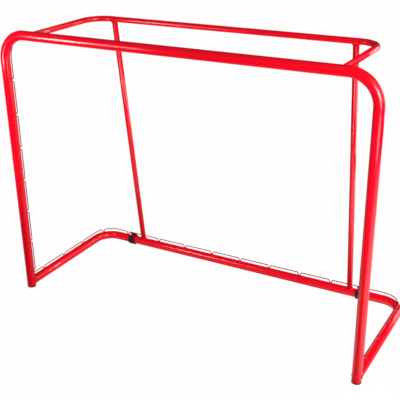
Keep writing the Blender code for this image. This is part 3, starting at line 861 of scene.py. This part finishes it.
class GOAL_OT_floor_clips(Operator):
    """Make the black clips that carry the rear of the base hoop"""
    bl_idname = "goal.floor_clips"
    bl_label = "Floor Clips"

    def execute(self, context):
        for side, _ in SIDES:
            bm = bmesh.new()
            start = Vector((CLIP_X[side] - CLIP_WIDTH / 2, BASE_REAR_Y, BASE_Z))
            face = bm.faces.new([bm.verts.new(start + Vector((0, *point))) for point in clip_outline()])
            grown = bmesh.ops.extrude_face_region(bm, geom=[face])
            moved = [item for item in grown["geom"] if isinstance(item, bmesh.types.BMVert)]
            bmesh.ops.translate(bm, verts=moved, vec=X_AXIS * CLIP_WIDTH)
            finish_moulded(bm, side + "_floor_clip")
        return {"FINISHED"}


def cap_profile():
    """Radius and height from the hollow under the cap, round its flange and up its plug."""
    settings = bpy.context.scene.goal_plastic
    bore = MAIN_RADIUS - bpy.context.scene.goal_tubes.main_wall - TOUCH_GAP
    top = settings.cap_flange + settings.cap_plug
    lead_in = 0.001
    hollow = MAIN_RADIUS / 2
    return [(0.0, settings.cap_recess), (hollow - settings.cap_recess, settings.cap_recess), (hollow, 0.0),
            (MAIN_RADIUS, 0.0), (MAIN_RADIUS, settings.cap_flange), (bore, settings.cap_flange),
            (bore, top - lead_in), (bore - lead_in, top), (0.0, top)]


class GOAL_OT_post_end_caps(Operator):
    """Make the black caps that close the posts"""
    bl_idname = "goal.post_end_caps"
    bl_label = "Post End Caps"

    def execute(self, context):
        for side, sign in SIDES:
            centre = Vector((sign * POST_X, FRONT_Y, 0))
            bm = bmesh.new()
            spots = [bm.verts.new(centre + Vector((radius, 0, height))) for radius, height in cap_profile()]
            edges = [bm.edges.new(pair) for pair in zip(spots, spots[1:])]
            bmesh.ops.spin(bm, geom=spots + edges, cent=centre, axis=Z_AXIS, angle=2 * math.pi,
                           steps=context.scene.goal_tubes.sides, use_merge=True)
            bmesh.ops.remove_doubles(bm, verts=bm.verts[:], dist=MERGE_GAP)
            finish_moulded(bm, side + "_post_end_cap")
        return {"FINISHED"}


def add_lamp(name, radiance, width, height, place, target):
    """A soft box of an even brightness that faces a point."""
    lamp = bpy.data.lights.new(name, "AREA")
    lamp.shape = "RECTANGLE"
    lamp.size = width
    lamp.size_y = height
    lamp.energy = math.pi * width * height * radiance
    made = add_object(name, lamp)
    made.visible_camera = False
    made.location = place
    made.rotation_euler = (Vector(target) - Vector(place)).to_track_quat("-Z", "Y").to_euler()


def add_floor():
    half = bpy.context.scene.goal_stage.floor_size / 2
    corners = [(-half, -half, 0), (half, -half, 0), (half, half, 0), (-half, half, 0)]
    mesh = bpy.data.meshes.new("studio_floor")
    mesh.from_pydata(corners, [], [(0, 1, 2, 3)])
    mesh.materials.append(made_once(bpy.data.materials, "matt_white_floor_paint", make_floor_paint))
    add_object("studio_floor", mesh)


# Way to the middle of the pale wall
WALL_SIDE = (0.966, -0.259, 0.0)
# Cosine of the angle from there at which the wall begins, and at which it is fully bright
WALL_EDGE = (0.45, 0.85)
# Upward part of a ray's way at which the wall ends overhead, and at which it is fully bright
WALL_TOP = (0.90, 0.70)


def light_room():
    """A dark studio with a pale wall at the right. The camera sees white, mirrored rays see a white wall."""
    stage = bpy.context.scene.goal_stage
    world = bpy.data.worlds.new("studio_room")
    world.use_nodes = True
    tree = world.node_tree
    tree.nodes.clear()
    from_camera, mirrored = ray_kinds(tree)
    way = add_node(tree, "ShaderNodeTexCoord").outputs["Generated"]
    to_wall = add_node(tree, "ShaderNodeVectorMath", {"operation": "DOT_PRODUCT"}, {0: way, 1: WALL_SIDE})
    at_side = add_node(tree, "ShaderNodeMapRange", SMOOTHSTEP, {
        "Value": to_wall, "From Min": WALL_EDGE[0], "From Max": WALL_EDGE[1]})
    height = add_node(tree, "ShaderNodeSeparateXYZ", inputs={0: way}).outputs["Z"]
    below_top = add_node(tree, "ShaderNodeMapRange", SMOOTHSTEP, {
        "Value": height, "From Min": WALL_TOP[0], "From Max": WALL_TOP[1]})
    wall = add_node(tree, "ShaderNodeMath", MULTIPLY, {0: at_side, 1: below_top})
    # Mirrored rays see less of the soft light than the tubes get, so that the reflections stay dark
    fill = add_node(tree, "ShaderNodeMapRange", inputs={
        "Value": mirrored, "To Min": stage.room_light, "To Max": stage.room_light * stage.room_shade})
    lit = add_node(tree, "ShaderNodeMath", {"operation": "MULTIPLY_ADD"}, {
        0: wall, 1: stage.wall_light, 2: fill})
    wall_mirrored = add_node(tree, "ShaderNodeMath", MULTIPLY, {0: wall, 1: mirrored})
    seen_white = add_node(tree, "ShaderNodeMath", {"operation": "MAXIMUM"}, {
        0: from_camera, 1: wall_mirrored})
    room = add_node(tree, "ShaderNodeBackground", inputs={"Color": WHITE, "Strength": lit})
    white = add_node(tree, "ShaderNodeBackground", inputs={"Color": WHITE, "Strength": 1.0})
    mixed = add_node(tree, "ShaderNodeMixShader", inputs={0: seen_white, 1: room, 2: white})
    add_node(tree, "ShaderNodeOutputWorld", inputs={"Surface": mixed})
    bpy.context.scene.world = world


# The camera of the photograph: turned left, tilted down and rolled a little, in radians
CAMERA_PLACE = Vector((1.3531, FRONT_Y - 2.1877, 1.6324))
CAMERA_TURN = 0.5277
CAMERA_TILT = 0.4298
CAMERA_ROLL = -0.0199
CAMERA_LENS = 70.57
CAMERA_SHIFT = (0.0202, 0.0527)


def add_camera():
    camera = bpy.data.cameras.new("photo_camera")
    camera.lens = CAMERA_LENS
    camera.shift_x, camera.shift_y = CAMERA_SHIFT
    made = add_object("photo_camera", camera)
    turn = Matrix.Rotation(CAMERA_TURN, 4, "Z")
    tilt = Matrix.Rotation(math.pi / 2 - CAMERA_TILT, 4, "X")
    roll = Matrix.Rotation(CAMERA_ROLL, 4, "Z")
    made.matrix_world = Matrix.Translation(CAMERA_PLACE) @ turn @ tilt @ roll
    bpy.context.scene.camera = made


# Each lamp's name, its brightness setting, its width, height and place, and the point that it faces
LAMPS = (
    ("left_soft_box", "left_light", 0.56, 0.45, (-0.85, -0.98, 0.98), (-0.65, 0.0, 0.93)),
    ("left_soft_box_centre", "left_centre", 0.24, 0.42, (-0.97, -0.95, 0.98), (-0.77, 0.03, 0.9)),
    ("right_soft_box", "right_light", 0.56, 0.78, (1.51, -0.91, 1.10), (0.7, -0.28, 0.9)),
    ("right_soft_box_centre", "right_centre", 0.50, 0.42, (1.50, -0.90, 1.24), (0.7, -0.28, 1.0)),
    ("low_right_panel", "low_light", 0.80, 0.50, (1.70, -1.00, 0.30), (0.7, -0.10, 0.3)),
    ("back_right_panel", "back_light", 1.10, 1.60, (1.70, 1.90, 0.85), (0.7, 0.0, 0.1)),
)


class GOAL_OT_studio(Operator):
    """Set up the floor, the lamps, the surroundings and the camera"""
    bl_idname = "goal.studio"
    bl_label = "Studio"

    def execute(self, context):
        add_floor()
        for name, brightness, width, height, place, target in LAMPS:
            add_lamp(name, getattr(context.scene.goal_stage, brightness), width, height, place, target)
        light_room()
        add_camera()
        context.scene.view_settings.view_transform = "Standard"
        return {"FINISHED"}


class GOAL_PT_goal_frame(Panel):
    """Lists the pieces of the goal frame and their sizes"""
    bl_label = "Goal Frame"
    bl_idname = "GOAL_PT_goal_frame"
    bl_space_type = "VIEW_3D"
    bl_region_type = "UI"
    bl_category = "Goal Frame"

    def draw(self, context):
        for operator in OPERATORS:
            self.layout.operator(operator.bl_idname)
        for name, group in SETTINGS:
            box = self.layout.box()
            box.label(text=name.replace("_", " ").title())
            for field in group.__annotations__:
                box.prop(getattr(context.scene, name), field)


SETTINGS = (("goal_tubes", GoalTubeSettings), ("goal_wires", GoalWireSettings),
            ("goal_welds", GoalWeldSettings), ("goal_plastic", GoalPlasticSettings),
            ("goal_finish", GoalFinishSettings), ("goal_stage", GoalStageSettings))
OPERATORS = (GOAL_OT_frame_tubes, GOAL_OT_rear_struts, GOAL_OT_weld_beads, GOAL_OT_net_wires,
             GOAL_OT_floor_clips, GOAL_OT_post_end_caps, GOAL_OT_studio)


def register():
    for name, group in SETTINGS:
        bpy.utils.register_class(group)
        setattr(bpy.types.Scene, name, PointerProperty(type=group))
    for operator in OPERATORS:
        bpy.utils.register_class(operator)
    bpy.utils.register_class(GOAL_PT_goal_frame)


def unregister():
    bpy.utils.unregister_class(GOAL_PT_goal_frame)
    for operator in reversed(OPERATORS):
        bpy.utils.unregister_class(operator)
    for name, group in reversed(SETTINGS):
        delattr(bpy.types.Scene, name)
        bpy.utils.unregister_class(group)


def main():
    register()
    bpy.ops.goal.frame_tubes()
    bpy.ops.goal.rear_struts()
    bpy.ops.goal.weld_beads()
    bpy.ops.goal.net_wires()
    bpy.ops.goal.floor_clips()
    bpy.ops.goal.post_end_caps()
    bpy.ops.goal.studio()


if __name__ == "__main__":
    main()
